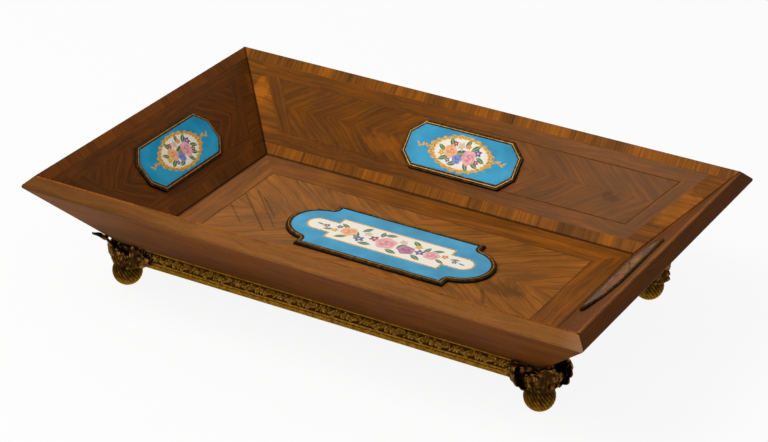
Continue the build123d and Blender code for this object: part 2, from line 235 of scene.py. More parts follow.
# Each side's tones: the left wall's are darker than the back's, as painted shade.
field_tones = {
    "back": tones(110, 60, 8, 0.32), "left": tones(96, 49, 6, 0.38),
    "right": tones(100, 56, 22, 0.22), "front": tones(104, 56, 14, 0.22),
    "floor": tones(139, 83, 27, 0.36),
}
band_tones = {
    "back": tones(110, 60, 10, 0.32), "left": tones(97, 50, 9, 0.30),
    "right": tones(100, 57, 23, 0.22), "front": tones(105, 57, 14, 0.22),
    "floor": tones(127, 72, 18, 0.32),
}
cross_tones = {
    "back": tones(126, 71, 12, 0.40), "left": tones(98, 52, 12, 0.28),
    "right": tones(110, 62, 22, 0.34), "front": tones(112, 60, 12, 0.36),
}
outer_tones = tones(104, 58, 20, 0.24)
# Of the rims, the front's tones are lighter, as painted light, and the right's darker, as painted
# shade.
rim_tones = {
    "front": tones(134, 84, 40, 0.14), "back": tones(112, 66, 30, 0.16),
    "left": tones(112, 66, 30, 0.16), "right": tones(84, 46, 18, 0.16),
}
line_tones = tones(100, 56, 18, 0.16)
carcase_tones = tones(122, 84, 48, 0.25)
# The pale tone of a painted sheen, mixed over the wood
painted_sheen_tone = tone(196, 158, 130)
# The dark tone of dirt and of painted shade, multiplied over the wood
dirt_and_shade_tone = tone(52, 36, 26)
pore_shade = tone(150, 110, 84)
warm_sheen = (1.0, 0.72, 0.45, 1)

# A veneer's figure: waves in a millimetre along and across its grain, seed and detail
bend_waves = (0.022, 0.04, 0.0, 2)
broad_waves = (0.012, 0.10, 3.1, 1)
stripe_waves = (0.020, 0.50, 7.7, 2)
fine_waves = (0.08, 2.3, 1.3, 2)
cloud_waves = (0.035, 0.05, 9.2, 3)
pore_waves = (0.30, 5.0, 5.9, 1)

# How far the grain wanders, and how much each part of the figure shows
grain_wander = 12
broad_share = 0.26
stripe_share = 0.46
fine_share = 0.28
cloud_share = 0.36
pore_share = 0.4

# Each finish's own noise, to which a wall adds its half length
crossband_seed = 11.0
banding_seed = 23.0
field_seed = 31.0
floor_field_seed = 47.0
floor_banding_seed = 53.0
outer_seed = 61.0
rim_seed = 71.0
carcase_seed = 83.0

# The lean of the matched leaves' grain, their joints, and the crossband's short pieces
wall_grain_lean = 36
floor_grain_lean = 38
joint_width = 0.35
joint_dirt = 0.2
half_shift = 3.3
piece_width = 14.0

# Light patches on the outer bands: centre, half size, seed and lift
crossband_patches = {
    "back": [((166, 40), (22, 20), 2.0, 0.15), ((-174, 48), (9, 10), 4.0, 0.20)],
    "left": [((117, 46), (11, 13), 6.0, 0.22)],
}


def waves(paint, along, across, seed, kind):
    """Noise of one kind of wave, stretched along the grain."""
    run, width, shift, detail = kind
    return paint.noise(along * run, across * width, seed + shift, detail=detail)


def veneer_finish(
        paint, along, across, seed, stops, lift=0.0, dirt_and_shade=None, bloom=None, sheen=0.06):
    """Satin-polished veneer: streaked tones, dark pores, a painted pale sheen, and dirt with painted
    shade.
    """
    bend = waves(paint, along, across, seed, bend_waves)
    lines = across + (bend - 0.5) * grain_wander
    broad = waves(paint, along, lines, seed, broad_waves)
    stripes = waves(paint, along, lines, seed, stripe_waves)
    fine = waves(paint, along, lines, seed, fine_waves)
    shade = broad * broad_share + stripes * stripe_share + fine * fine_share
    cloud = waves(paint, along, across, seed, cloud_waves)
    colour = paint.ramp(shade + (cloud - 0.5) * cloud_share + lift, stops)
    pores = paint.step(waves(paint, along, lines, seed, pore_waves), 0.58, 0.72)
    colour = paint.mix(pores * pore_share, colour, pore_shade, "MULTIPLY")
    # A painted pale sheen over the wood's colour.
    if bloom:
        colour = paint.mix(bloom, colour, painted_sheen_tone)
    # Dirt and painted shade, multiplied over the colour.
    if dirt_and_shade:
        colour = paint.mix(dirt_and_shade, colour, dirt_and_shade_tone, "MULTIPLY")
    return paint.finish({
        "Base Color": colour,
        "Roughness": cloud * 0.25 + 0.36,
        "Specular IOR Level": sheen,
        "Specular Tint": warm_sheen,
        "Normal": paint.bump(fine * 0.6 - pores * 0.5, 0.04, 0.3),
    })


def wall_paint(name, side):
    """A wall's material, and how far right, up the slope and behind the face a point lies."""
    paint = new_paint(name + "_" + side)
    x, y, z = paint.place()
    right, outward, reach = {
        "right": (-y, x, half_length),
        "back": (x, y, half_width),
        "left": (y, -x, half_length),
        "front": (-x, -y, half_width),
    }[side]
    up = (outward - reach) * cos(slope) + (z - floor_z) * sin(slope)
    behind = (outward - reach) * sin(slope) - (z - floor_z) * cos(slope)
    return paint, right, up, behind


def scratch(paint, x, y, start, end, width):
    """1 along a straight mark from one point to another, and 0 away from it."""
    length = hypot(end[0] - start[0], end[1] - start[1])
    run_x = (end[0] - start[0]) / length
    run_y = (end[1] - start[1]) / length
    dx = x - start[0]
    dy = y - start[1]
    along = (dx * run_x + dy * run_y).math("MAXIMUM", 0.0).math("MINIMUM", length)
    off_x = dx - along * run_x
    off_y = dy - along * run_y
    return 1 - paint.step((off_x * off_x + off_y * off_y).math("SQRT"), width * 0.3, width)


def patch(paint, x, y, centre, half, seed):
    """1 inside an uneven oval patch that fades at its edge."""
    dx = (x - centre[0]) / half[0]
    dy = (y - centre[1]) / half[1]
    ragged = (paint.noise(x * 0.18, y * 0.18, seed, detail=2) - 0.5) * 1.4
    return 1 - paint.step((dx * dx + dy * dy).math("SQRT") + ragged, 0.5, 1.1)


def half_run(side):
    """Half the length of a wall's foot."""
    return half_width if side in ("left", "right") else half_length


def from_mitre(right, up, side):
    """How far a point of a wall lies from its nearer mitre, square to it."""
    edge = up * (flare / slant) + half_run(side)
    return (edge - abs(right)) * cos(mitre_lean)


def junction_dirt_and_shade(paint, right, up, side):
    """Old polish and dust, with painted shade in the creases, that darken a wall along its foot and
    its mitres.
    """
    foot = 1 - paint.step(up, 0.3, 1.8)
    corner = 1 - paint.step(from_mitre(right, up, side), 0.2, 1.6)
    return foot.math("MAXIMUM", corner) * 0.9


def wall_painted_sheen(paint, right, side):
    """A painted pale sheen, which grows to the right along the back wall."""
    return paint.step(right, -60.0, 130.0) * 0.13 if side == "back" else 0.01


def matched_joint(paint, out, off):
    """1 on the two joints where four matched leaves meet, and 0 away from them."""
    return 1 - paint.step(off.math("MINIMUM", out), 0.0, joint_width)


def crossband(side):
    """A wall's outer band, laid in short pieces with the grain across it."""
    paint, right, up, behind = wall_paint("crossband", side)
    on_end = (up > crossband_foot) * (up < slant - crossband_top)
    across = right + (up - right) * on_end
    along = up + (right - up) * on_end
    pieces = across / piece_width + paint.noise(across * 0.03, 4.0) * 2
    lift = (paint.chance(pieces.math("FLOOR"), on_end * 7) - 0.5) * 0.16
    seam = pieces.math("FRACT")
    seam_line = 1 - paint.step(seam.math("PINGPONG", 0.5), 0.0, 0.03)
    # Dirt and painted shade along the foot and the mitres, with dark seams.
    dirt_and_shade = junction_dirt_and_shade(paint, right, up, side).math("MAXIMUM", seam_line * joint_dirt)
    if side != "back":
        lift = lift + (up > slant - crossband_top) * 0.10
    for centre, half, seed, share in crossband_patches.get(side, ()):
        lift = lift + patch(paint, right, up, centre, half, seed) * share
    # A painted pale sheen, growing to the right along the back wall.
    bloom = wall_painted_sheen(paint, right, side) * 0.3
    seed = crossband_seed + half_run(side)
    stops = cross_tones[side]
    return veneer_finish(paint, along * 0.8, across * 1.3, seed, stops, lift, dirt_and_shade, bloom)


def banding(side):
    """A wall's straight-grained band inside the crossband."""
    paint, right, up, behind = wall_paint("banding", side)
    inner_foot = crossband_foot + banding_foot
    on_end = (up > inner_foot) * (up < slant - crossband_top - banding_top)
    edge = from_mitre(right, up, side)
    across = up + (edge - up) * on_end
    along = right + (up - right) * on_end
    # A painted pale sheen, growing to the right along the back wall.
    bloom = wall_painted_sheen(paint, right, side)
    seed = banding_seed + half_run(side)
    return veneer_finish(paint, along, across, seed, band_tones[side], bloom=bloom)


def wall_field(side):
    """Four matched leaves whose grain makes a diamond round the plaque."""
    paint, right, up, behind = wall_paint("field", side)
    middle = (crossband_foot + banding_foot + slant - crossband_top - banding_top) / 2
    lean = radians(wall_grain_lean)
    out = abs(right)
    off = abs(up - middle)
    along = out * cos(lean) - off * sin(lean)
    across = out * sin(lean) + off * cos(lean) + (right > 0) * half_shift
    # A painted pale sheen, growing to the right along the back wall.
    bloom = wall_painted_sheen(paint, right, side)
    seed = field_seed + half_run(side)
    lift = 0.0
    dirt_and_shade = matched_joint(paint, out, off) * joint_dirt
    if side == "back":
        lift = patch(paint, right, up, (-62, 31), (17, 9), 5.0) * 0.16
        dirt_and_shade = dirt_and_shade.math("MAXIMUM", patch(paint, right, up, (117, 35.5), (8, 4), 8.0) * 0.25)
    return veneer_finish(paint, along, across, seed, field_tones[side], lift, dirt_and_shade, bloom)


# Old marks in the floor's field: both ends of each and its width
floor_scratches = [
    ((-130, 20), (-86, -26), 1.2), ((-121, 24), (-82, -18), 0.8), ((-137, 7), (-106, -24), 0.8),
    ((-112, 18), (-90, -4), 0.9), ((82, -21), (91, -37), 2.2),
]


def floor_field():
    """The floor's four matched leaves, whose grain runs out to the corners."""
    paint = new_paint("field_floor")
    x, y, z = paint.place()
    lean = radians(floor_grain_lean)
    out = abs(x)
    off = abs(y)
    along = out * cos(lean) + off * sin(lean)
    across = off * cos(lean) - out * sin(lean)
    # A painted pale sheen towards the floor's left end.
    bloom = (1 - paint.step(x, -110.0, 40.0)) * 0.07
    dirt_and_shade = matched_joint(paint, out, off) * joint_dirt
    for start, end, width in floor_scratches:
        dirt_and_shade = dirt_and_shade.math("MAXIMUM", scratch(paint, x, y, start, end, width) * 0.42)
    dirt_and_shade = dirt_and_shade.math("MAXIMUM", patch(paint, x, y, (94, -15), (17, 10), 3.0) * 0.3)
    stops = field_tones["floor"]
    return veneer_finish(paint, along, across, floor_field_seed, stops, 0.0, dirt_and_shade, bloom)


def floor_banding():
    """The floor's straight-grained border, mitred at its corners."""
    paint = new_paint("banding_floor")
    x, y, z = paint.place()
    off_end = half_length - abs(x)
    off_side = half_width - abs(y)
    on_end = off_end * (floor_banding_side / floor_banding_end) < off_side
    across = off_side + (off_end - off_side) * on_end
    along = x + (y - x) * on_end
    # Dirt and painted shade along the floor's edges, where the walls meet it.
    dirt_and_shade = (1 - paint.step(off_end.math("MINIMUM", off_side), 0.0, 2.4)) * 0.6
    # A painted pale sheen towards the left end.
    bloom = (1 - paint.step(x, -150.0, 20.0)) * 0.07
    stops = band_tones["floor"]
    return veneer_finish(paint, along, across, floor_banding_seed, stops, 0.0, dirt_and_shade, bloom)


def outer_veneer(side):
    """The plain veneer of a wall's outer face, with its grain along the wall, painted shade towards
    its foot and a painted sheen at one end of the front.
    """
    paint, right, up, behind = wall_paint("outer", side)
    # Darker towards the foot, as painted shade.
    lift = 0.06 - (1 - paint.step(up, 4.0, 60.0)) * 0.18
    # More painted shade just above the foot.
    dirt_and_shade = (1 - paint.step(up, 0.0, 9.0)) * 0.4
    # A painted pale sheen towards the front face's left end.
    bloom = paint.step(right, 60.0, 200.0) * 0.10 if side == "front" else None
    seed = outer_seed + half_run(side)
    return veneer_finish(paint, right, up, seed, outer_tones, lift, dirt_and_shade, bloom, 0.004)


def rim(side):
    """The square rim's edge strip, with painted shade over one end of the front rim and a painted
    highlight, with some wear, at the other.
    """
    paint, right, up, behind = wall_paint("rim", side)
    # Painted shade over the front rim's left end.
    dirt_and_shade = (1 - paint.step(-right, -190.0, 0.0)) * 0.46 if side == "front" else None
    # A painted highlight, with some wear, at the front rim's right corner.
    bloom = paint.step(-right, 186.0, 208.0) * 0.22 if side == "front" else None
    seed = rim_seed + half_run(side)
    return veneer_finish(paint, right, behind, seed, rim_tones[side], 0.0, dirt_and_shade, bloom, 0.02)


def stringing():
    """Fine inlaid lines of a plain wood."""
    paint = new_paint("stringing")
    x, y, z = paint.place()
    shade = paint.noise(x * 0.3, y * 0.3, z * 0.3, detail=2)
    colour = paint.ramp(shade, line_tones)
    return paint.finish({"Base Color": colour, "Roughness": 0.5, "Specular IOR Level": 0.02})


def carcase():
    """Plain planed wood where no veneer covers it."""
    paint = new_paint("carcase")
    x, y, z = paint.place()
    return veneer_finish(paint, x, y + z, carcase_seed, carcase_tones)


# Painted porcelain

# The glazes' gloss and clear coat
wall_glazes = {"back": (0.08, 0.0), "left": (0.08, 0.0), "right": (0.9, 1.0), "front": (0.3, 0.0)}
floor_gloss = 0.3

turquoise = [(0.3, tone(8, 132, 172)), (0.5, tone(18, 148, 190)), (0.7, tone(44, 164, 204))]
ivory = tone(250, 240, 222)
ivory_edge = tone(236, 214, 170)
gilding = [(0.3, tone(150, 96, 30)), (0.5, tone(214, 158, 62)), (0.7, tone(244, 206, 120))]
petal_colours = {
    "pink": (tone(246, 186, 184), tone(206, 84, 104)),
    "peach": (tone(250, 196, 140), tone(222, 104, 50)),
    "plum": (tone(206, 130, 160), tone(120, 40, 84)),
    "blue": (tone(150, 156, 214), tone(52, 56, 140)),
    "white": (tone(250, 240, 232), tone(214, 180, 170)),
    "yellow": (tone(250, 224, 130), tone(214, 150, 50)),
}
bloom_heart = tone(236, 190, 70)
leaf_greens = (tone(150, 172, 104), tone(58, 98, 56))

# The plaques' posies, from the back to the front: each leaf's place, half length, half width and
# turn, and each flower's place, radius, turn and colour
wall_leaves = [
    (-15.5, 1.8, 4.2, 1.6, 150), (-9.0, 7.0, 4.6, 1.9, 120), (-4.5, -8.2, 4.0, 1.8, 200),
    (3.2, 8.6, 4.0, 1.8, 70), (9.8, 6.6, 4.4, 1.9, 40), (15.6, -1.2, 4.2, 1.7, -24),
    (6.2, -8.4, 4.4, 1.8, -60), (0.4, 0.4, 6.4, 3.2, 15), (-12.4, -5.4, 4.4, 1.8, 30),
    (12.0, -5.8, 4.2, 1.8, 150),
]
wall_flowers = [
    ("bloom", -15.0, -2.0, 2.8, 10, "yellow"), ("bloom", 12.4, 3.6, 3.3, 40, "blue"),
    ("rose", -8.4, 0.6, 5.6, 70, "peach"), ("rose", 6.6, -1.4, 6.2, 20, "pink"),
    ("bloom", -1.4, 6.0, 3.8, 0, "white"), ("rose", -1.8, -4.2, 4.2, 130, "blue"),
    ("bloom", 13.2, -3.6, 2.4, 80, "plum"), ("bloom", -6.4, 6.8, 2.4, 30, "plum"),
    ("bloom", 4.2, 6.6, 2.3, 60, "peach"), ("bloom", -8.6, -6.4, 2.2, 20, "blue"),
]
floor_leaves = [
    (-55.0, 0.8, 3.6, 1.0, 172), (-47.0, -3.2, 4.2, 1.5, 200), (-38.0, 6.6, 4.8, 1.9, 150),
    (-34.5, -8.6, 5.2, 2.1, 215), (-22.0, 9.0, 5.0, 2.1, 60), (-15.5, -9.4, 5.4, 2.3, 190),
    (-4.0, 10.2, 5.2, 2.2, 20), (5.6, -10.2, 5.4, 2.3, 165), (17.0, 9.0, 5.2, 2.2, 140),
    (24.0, -9.0, 5.4, 2.2, -30), (34.5, 7.0, 4.8, 1.9, 30), (41.0, -5.4, 4.6, 1.7, -26),
    (49.5, 2.2, 4.0, 1.3, 14), (56.0, -1.0, 3.2, 0.9, -10), (-26.0, -1.0, 5.4, 2.4, 110),
    (9.0, 0.0, 5.4, 2.4, 70), (-9.5, 8.6, 4.4, 1.9, 100), (27.0, 4.6, 4.8, 2.0, 80),
]
floor_flowers = [
    ("bloom", -50.0, 0.4, 2.8, 0, "plum"), ("bloom", -42.0, -2.6, 3.0, 50, "yellow"),
    ("bloom", -41.2, 3.4, 2.8, 20, "blue"), ("rose", -32.4, 0.4, 6.8, 10, "peach"),
    ("bloom", -21.6, -5.2, 4.4, 20, "blue"), ("bloom", -19.0, 4.2, 3.8, 40, "white"),
    ("bloom", -12.4, 0.6, 4.2, 70, "plum"), ("rose", -2.4, -1.2, 8.6, 40, "pink"),
    ("bloom", 7.6, 6.4, 3.8, 15, "white"), ("rose", 14.2, -2.8, 6.6, 100, "plum"),
    ("bloom", 20.0, 5.4, 3.4, 60, "yellow"), ("bloom", 23.8, -1.0, 4.2, 30, "blue"),
    ("rose", 32.8, -0.6, 6.4, 60, "pink"), ("bloom", 41.6, 2.4, 3.2, 0, "peach"),
    ("bloom", 50.5, -0.8, 2.4, 40, "blue"),
]

# The gold sprigs beside a wall plaque's oval, as the leaves above
sprig_leaves = [(28.4, 0.9, 3.0, 1.0, 20), (31.8, -0.4, 2.6, 0.8, -28), (34.6, 0.9, 1.6, 0.7, 40)]

# A wall plaque's oval reserve and its scalloped border
oval_flatness = 1.85
border_radius = 25.4
border_scallops = 22
border_bays = 4
reserve_radius = 21.2
reserve_scallops = 30

# The floor plaque's reserve and the round tongues at its ends
reserve_half = (43.5, 14.5)
tongue_centre = 56.5
tongue_radius = 7.4


def leaf_run(x, y, item):
    """How far a point lies along and across a painted leaf, as shares of its half size."""
    spot_x, spot_y, length, width, turn = item
    dx = x - spot_x
    dy = y - spot_y
    lean = radians(turn)
    along = (dx * cos(lean) + dy * sin(lean)) / length
    return along, (dy * cos(lean) - dx * sin(lean)) / width


def flower(paint, colour, x, y, item):
    """A rose with spiral folds, or an open bloom with round petals and a yellow heart."""
    kind, spot_x, spot_y, radius, turn, name = item
    pale, deep = petal_colours[name]
    dx = x - spot_x
    dy = y - spot_y
    angle = dy.math("ARCTAN2", dx) + radians(turn)
    out = (dx * dx + dy * dy).math("SQRT") / radius
    if kind == "rose":
        edge = (angle * 5).math("COSINE") * 0.07 + 0.92
        spirals = (out * 11 + angle * 2).math("SINE") * 0.3
        petals = (angle * 3 - out * 5).math("COSINE") * 0.2
        shade = (spirals + petals + 0.5) * (1.15 - out)
    else:
        edge = (angle * 5).math("COSINE") * 0.20 + 0.80
        shade = 1 - abs(out / edge - 0.55) * 1.6
    inside = 1 - paint.step(out / edge, 0.90, 1.05)
    colour = paint.mix(inside, colour, paint.mix(shade, pale, deep))
    if kind == "bloom":
        colour = paint.mix(1 - paint.step(out, 0.20, 0.32), colour, bloom_heart)
    return colour


def painted_leaf(paint, colour, x, y, item):
    """A pointed green leaf with a pale midrib."""
    along, across = leaf_run(x, y, item)
    side = abs(across)
    inside = 1 - paint.step(side + along * along, 0.80, 1.05)
    green = paint.mix(paint.step(side, 0.0, 0.5), *leaf_greens)
    return paint.mix(inside, colour, green)


def paint_posy(paint, colour, x, y, leaves, flowers):
    """Paints the leaves and then the flowers over a colour."""
    for item in leaves:
        colour = painted_leaf(paint, colour, x, y, item)
    for item in flowers:
        colour = flower(paint, colour, x, y, item)
    return colour


def porcelain_finish(paint, colour, gloss, coat=0.0):
    """A thick clear glaze."""
    return paint.finish({
        "Base Color": colour, "Roughness": 0.06, "Specular IOR Level": gloss,
        "Coat Weight": coat, "Coat IOR": 1.9, "Coat Roughness": 0.04,
    })


def gold(paint, x, y):
    """Raised gilding that catches the light unevenly."""
    return paint.ramp(paint.noise(x * 0.8, y * 0.8, 2.0, detail=2), gilding)


def ground_blue(paint, x, y):
    """The turquoise ground, slightly cloudy."""
    return paint.ramp(paint.noise(x * 0.05, y * 0.05, 6.0, detail=2), turquoise)


def wall_plaque(side):
    """An oval reserve with a posy, in a scalloped gold border with small end sprigs."""
    paint, x, up, behind = wall_paint("plaque", side)
    y = up - wall_plaque_up
    colour = ground_blue(paint, x, y)
    gilt_paint = gold(paint, x, y)
    flat_y = y * oval_flatness
    angle = flat_y.math("ARCTAN2", x)
    out = (x * x + flat_y * flat_y).math("SQRT")
    scallops = (angle * border_scallops).math("COSINE") * 0.9
    bays = (angle * border_bays).math("COSINE") * 0.7
    outer = scallops + bays + border_radius
    inner = (angle * reserve_scallops).math("COSINE") * 0.4 + reserve_radius
    colour = paint.mix(1 - paint.step(out - outer, -0.3, 0.3), colour, gilt_paint)
    reach = abs(x)
    for item in sprig_leaves:
        along, across = leaf_run(reach, y, item)
        inside = 1 - paint.step(along * along + across * across, 0.8, 1.1)
        colour = paint.mix(inside, colour, gilt_paint)
    reserve = 1 - paint.step(out - inner, -0.3, 0.3)
    white = paint.mix(paint.step(out - inner, -5.0, -0.5) * 0.35, ivory, ivory_edge)
    colour = paint.mix(reserve, colour, white)
    colour = paint_posy(paint, colour, x, y, wall_leaves, wall_flowers)
    gloss, coat = wall_glazes[side]
    return porcelain_finish(paint, colour, gloss, coat)


def floor_plaque():
    """A long reserve with a rounded tongue at each end, edged in gold, and a garland along it."""
    paint = new_paint("plaque_floor")
    x, y, z = paint.place()
    colour = ground_blue(paint, x, y)
    out = abs(x)
    off = abs(y)
    block = (out - reserve_half[0]).math("MAXIMUM", off - reserve_half[1])
    tongue_x = (out - tongue_centre).math("MAXIMUM", 0.0)
    tongue = (tongue_x * tongue_x + off * off).math("SQRT") - tongue_radius
    edge = block.math("MINIMUM", tongue)
    colour = paint.mix(1 - paint.step(edge, 0.9, 1.3), colour, gold(paint, x, y))
    colour = paint.mix(1 - paint.step(edge, -0.3, 0.1), colour, ivory)
    colour = paint_posy(paint, colour, x, y, floor_leaves, floor_flowers)
    return porcelain_finish(paint, colour, floor_gloss)


# Metals

# The colours of old brass, from its dark hollows to its rubbed heights
gilt_colours = (tone(46, 26, 6), tone(114, 78, 16), tone(168, 124, 38))
frame_colours = (tone(34, 22, 10), tone(82, 58, 28), tone(156, 118, 66))
strip_colours = (tone(40, 20, 3), tone(92, 60, 12), tone(160, 120, 52))
mount_colours = (tone(34, 20, 9), tone(60, 36, 13), tone(146, 104, 50))
ball_colours = (tone(20, 11, 2), tone(66, 42, 8), tone(140, 102, 30))


def patina(name, colours, polish=0.0, sunk=0.0):
    """Old brass: bright where the relief attribute is high, and dull in the strip's sunk ground."""
    paint = new_paint(name)
    x, y, z = paint.place()
    relief = paint.node("Attribute", {"attribute_name": "relief"}, None, "Fac")
    mottle = paint.noise(x * 0.35, y * 0.35, z * 0.35, detail=3, rough=0.6)
    fine = paint.noise(x * 1.6, y * 1.6, z * 1.6, detail=2)
    worn = relief + (mottle - 0.5) * 0.9 + (fine - 0.5) * 0.5 + polish
    if sunk:
        low = base_z + strip_low
        high = base_z + strip_high
        above = paint.step(z, low - 0.3, low + 0.5)
        below = 1 - paint.step(z, high - 0.4, high + 0.3)
        worn = worn - above * below * sunk
    return paint.finish({
        "Base Color": paint.ramp(worn, list(zip((0.15, 0.5, 0.95), colours))),
        "Metallic": paint.step(worn, 0.0, 0.45) * 0.5 + 0.5,
        "Roughness": 0.55 - worn * 0.22,
        "Specular IOR Level": 0.08,
        "Specular Tint": warm_sheen,
        "Normal": paint.bump(fine, 0.08, 0.4),
    })


# Cast metal pieces

base_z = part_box("base_panel")[0][2] / mm
base_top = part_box("base_panel")[1][2] / mm
base_corner = [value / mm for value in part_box("base_panel")[1][:2]]
feet = [[value / mm for value in mount["pos_m"]] for mount in frame["record"]["mounts"]]

# The balls and their gadroons
ball_radius = 10.6
ball_z = 10.25
ball_gadroons = 24
ball_swirl = 0.75
ball_groove = 0.7
gadroon_roundness = 0.6
gadroon_end = 0.97
gadroon_fade = 0.35

# The strip's relief: its repeat, its edges above the base's foot, its depth, ground and grid
strip_pitch = 33.0
strip_low = 4.4
strip_high = 12.2
strip_relief = 1.15
strip_ground = 1.12
strip_column = 0.42
strip_rows = 20
strip_inset = 0.3

# The relief's drawing: a rosette, and pairs of leaflets on a wavy stem
drawing_half = 3.6
rosette_radius = 3.0
rosette_stretch = 1.25
rosette_lobes = 6
stem_start = 4.4
stem_step = 1.12
stem_pairs = 12
stem_swing = 1.1
stem_wave = 4.8
leaflet_length = 1.55
leaflet_width = 0.62

mount_reach = 21.5
mount_skirt = 2.9
wing_overlap = 2.0


def made_here(name):
    """The object that an operator has just added, under its own name."""
    piece = bpy.context.object
    piece.name = name
    piece.data.name = name
    return piece


def set_relief(piece, values):
    """Keeps each vertex's value for the patina: how high it stands in the relief, with painted light
    and shade on the balls and the strip.
    """
    relief = piece.data.attributes.new("relief", "FLOAT", "POINT")
    relief.data.foreach_set("value", values)


def smooth_step(value):
    """0 below 0, 1 above 1 and a smooth rise between them."""
    value = min(max(value, 0.0), 1.0)
    return value * value * (3 - 2 * value)


def apply_modifier(piece, kind, settings):
    """Adds a modifier and makes its result the piece's own mesh."""
    bpy.context.view_layer.objects.active = piece
    modifier = piece.modifiers.new(kind.lower(), kind)
    for name, value in settings.items():
        setattr(modifier, name, value)
    bpy.ops.object.modifier_apply(modifier=modifier.name)


def settle(piece, material, nodes=()):
    """Gives a finished piece its material, its body and the nodes that it stands for."""
    piece.data.materials.clear()
    piece.data.materials.append(material)
    for polygon in piece.data.polygons:
        polygon.use_smooth = True
    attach(piece, "root")
    if nodes:
        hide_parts(*nodes)
    bpy.ops.object.select_all(action="DESELECT")


def join(pieces, name):
    """Several pieces made one, whose shape is in place."""
    bpy.ops.object.select_all(action="DESELECT")
    for piece in pieces:
        piece.select_set(True)
    bpy.context.view_layer.objects.active = pieces[0]
    bpy.ops.object.join()
    return made_here(name)


def gadrooned_ball(foot):
    """A ball whose swirled gadroons fade towards its poles, flat where it stands, painted darker on
    top and lighter below.
    """
    bpy.ops.mesh.primitive_uv_sphere_add(segments=168, ring_count=40, radius=1)
    ball = made_here("foot_ball")
    relief = []
    for vertex in ball.data.vertices:
        x, y, z = vertex.co
        turn = atan2(y, x) + ball_swirl * z
        lobe = abs(sin(turn * ball_gadroons / 2)) ** gadroon_roundness
        fade = smooth_step((gadroon_end - abs(z)) / gadroon_fade)
        radius = ball_radius - ball_groove * (1 - lobe) * fade
        low = max(z * radius, -ball_z)
        vertex.co = Vector((foot[0] + x * radius, foot[1] + y * radius, ball_z + low)) * mm
        # The value falls towards the top, so the ball is painted darker above and lighter below, as
        # painted light and shade.
        relief.append(0.62 - 0.5 * (1 - lobe) * fade - 0.38 * z)
    set_relief(ball, relief)
    return ball


def foot_balls(material):
    """The four balls, as one piece."""
    balls = [gadrooned_ball(foot) for foot in feet]
    settle(join(balls, "gadrooned_balls"), material, ["foot_balls"])


def boss(off, up, radius, lobes):
    """A rosette of the relief, from 0 at its edge to 1, with a raised heart."""
    out = hypot(off, up) / radius
    petals = 0.62 + 0.38 * cos(lobes * atan2(up, off))
    return max(0.0, (1 - out ** 4) * petals, 1 - (out / 0.28) ** 2)


def leaflet(off, up, lean, length, width):
    """A small pointed leaf of the relief with a sunk midrib."""
    run = (off * cos(lean) + up * sin(lean)) / length
    side = abs(up * cos(lean) - off * sin(lean)) / (width * (1 - 0.5 * run))
    inside = 1 - run * run - side * side
    return max(0.0, inside) ** 0.5 * (0.75 + 0.25 * smooth_step(side * 3))


def scroll_relief(along, up):
    """The height, from 0 to 1, of the strip's crowded leaf scrolls and its rosettes."""
    off = (along + strip_pitch / 2) % strip_pitch - strip_pitch / 2
    height = boss(off / rosette_stretch, up, rosette_radius, rosette_lobes)
    side = 1 if off > 0 else -1
    off = abs(off)
    for step in range(stem_pairs):
        place = stem_start + stem_step * step
        swing = stem_swing * side * sin(place * pi / stem_wave)
        for branch in (-1, 1):
            lean = branch * (1.1 + 0.5 * sin(step * 2.3 + branch))
            spread = branch * (1.3 + 0.5 * cos(step * 1.9 - branch))
            above = up - swing - spread
            leaf = leaflet(off - place, above, lean, leaflet_length, leaflet_width)
            height = max(height, leaf * (0.8 + 0.2 * cos(step * 2.9 + branch)))
        height = max(height, 0.7 - 0.7 * hypot(off - place, up - swing))
    return height


def strip_relief_piece(side, length, face, material):
    """One run of the strip's cast relief, standing on its ground."""
    columns = round(length / strip_column)
    bpy.ops.mesh.primitive_grid_add(x_subdivisions=columns, y_subdivisions=strip_rows, size=2)
    piece = made_here("strip_relief_" + side)
    turn = {"front": 0, "right": 90, "back": 180, "left": 270}[side]
    place = Matrix.Rotation(radians(turn), 4, "Z")
    middle = (strip_low + strip_high) / 2
    half = (strip_high - strip_low) / 2
    relief = []
    for vertex in piece.data.vertices:
        along = vertex.co.x * length / 2
        level = vertex.co.y
        up = level * half
        height = scroll_relief(along, up * drawing_half / half)
        out = face - strip_relief * (strip_ground - height)
        vertex.co = place @ Vector((along, -out, base_z + middle + up)) * mm
        # The value also falls towards the top: painted shade under the wall's overhang.
        relief.append(0.22 + 0.56 * height - 0.14 * level)
    set_relief(piece, relief)
    settle(piece, material)


def strip_reliefs(material):
    """The four runs of relief, their ends under the mounts' wings."""
    run_x = 2 * (base_corner[0] - mount_reach + wing_overlap)
    run_y = 2 * (base_corner[1] - mount_reach + wing_overlap)
    face_y = -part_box("base_moulding_front")[0][1] / mm - strip_inset
    face_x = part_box("base_moulding_right")[1][0] / mm - strip_inset
    for side in ("front", "back"):
        strip_relief_piece(side, run_x, face_y, material)
    for side in ("left", "right"):
        strip_relief_piece(side, run_y, face_x, material)


def curve_through(points, count):
    """Points evenly numbered along a smooth curve through a few given ones."""
    ends = [points[0] * 2 - points[1]] + points + [points[-1] * 2 - points[-2]]
    result = []
    for step in range(count):
        at = step / (count - 1) * (len(points) - 1)
        first = min(int(at), len(points) - 2)
        part = at - first
        a, b, c, d = ends[first:first + 4]
        result.append(
            (b * 2 + (c - a) * part + (a * 2 - b * 5 + c * 4 - d) * part ** 2
             + (b * 3 - a - c * 3 + d) * part ** 3) / 2
        )
    return result


spine_steps = 64
lobe_notch = 0.46
leaf_thickness = 1.1
wing_half_width = 8.2
wing_thickness = 2.2


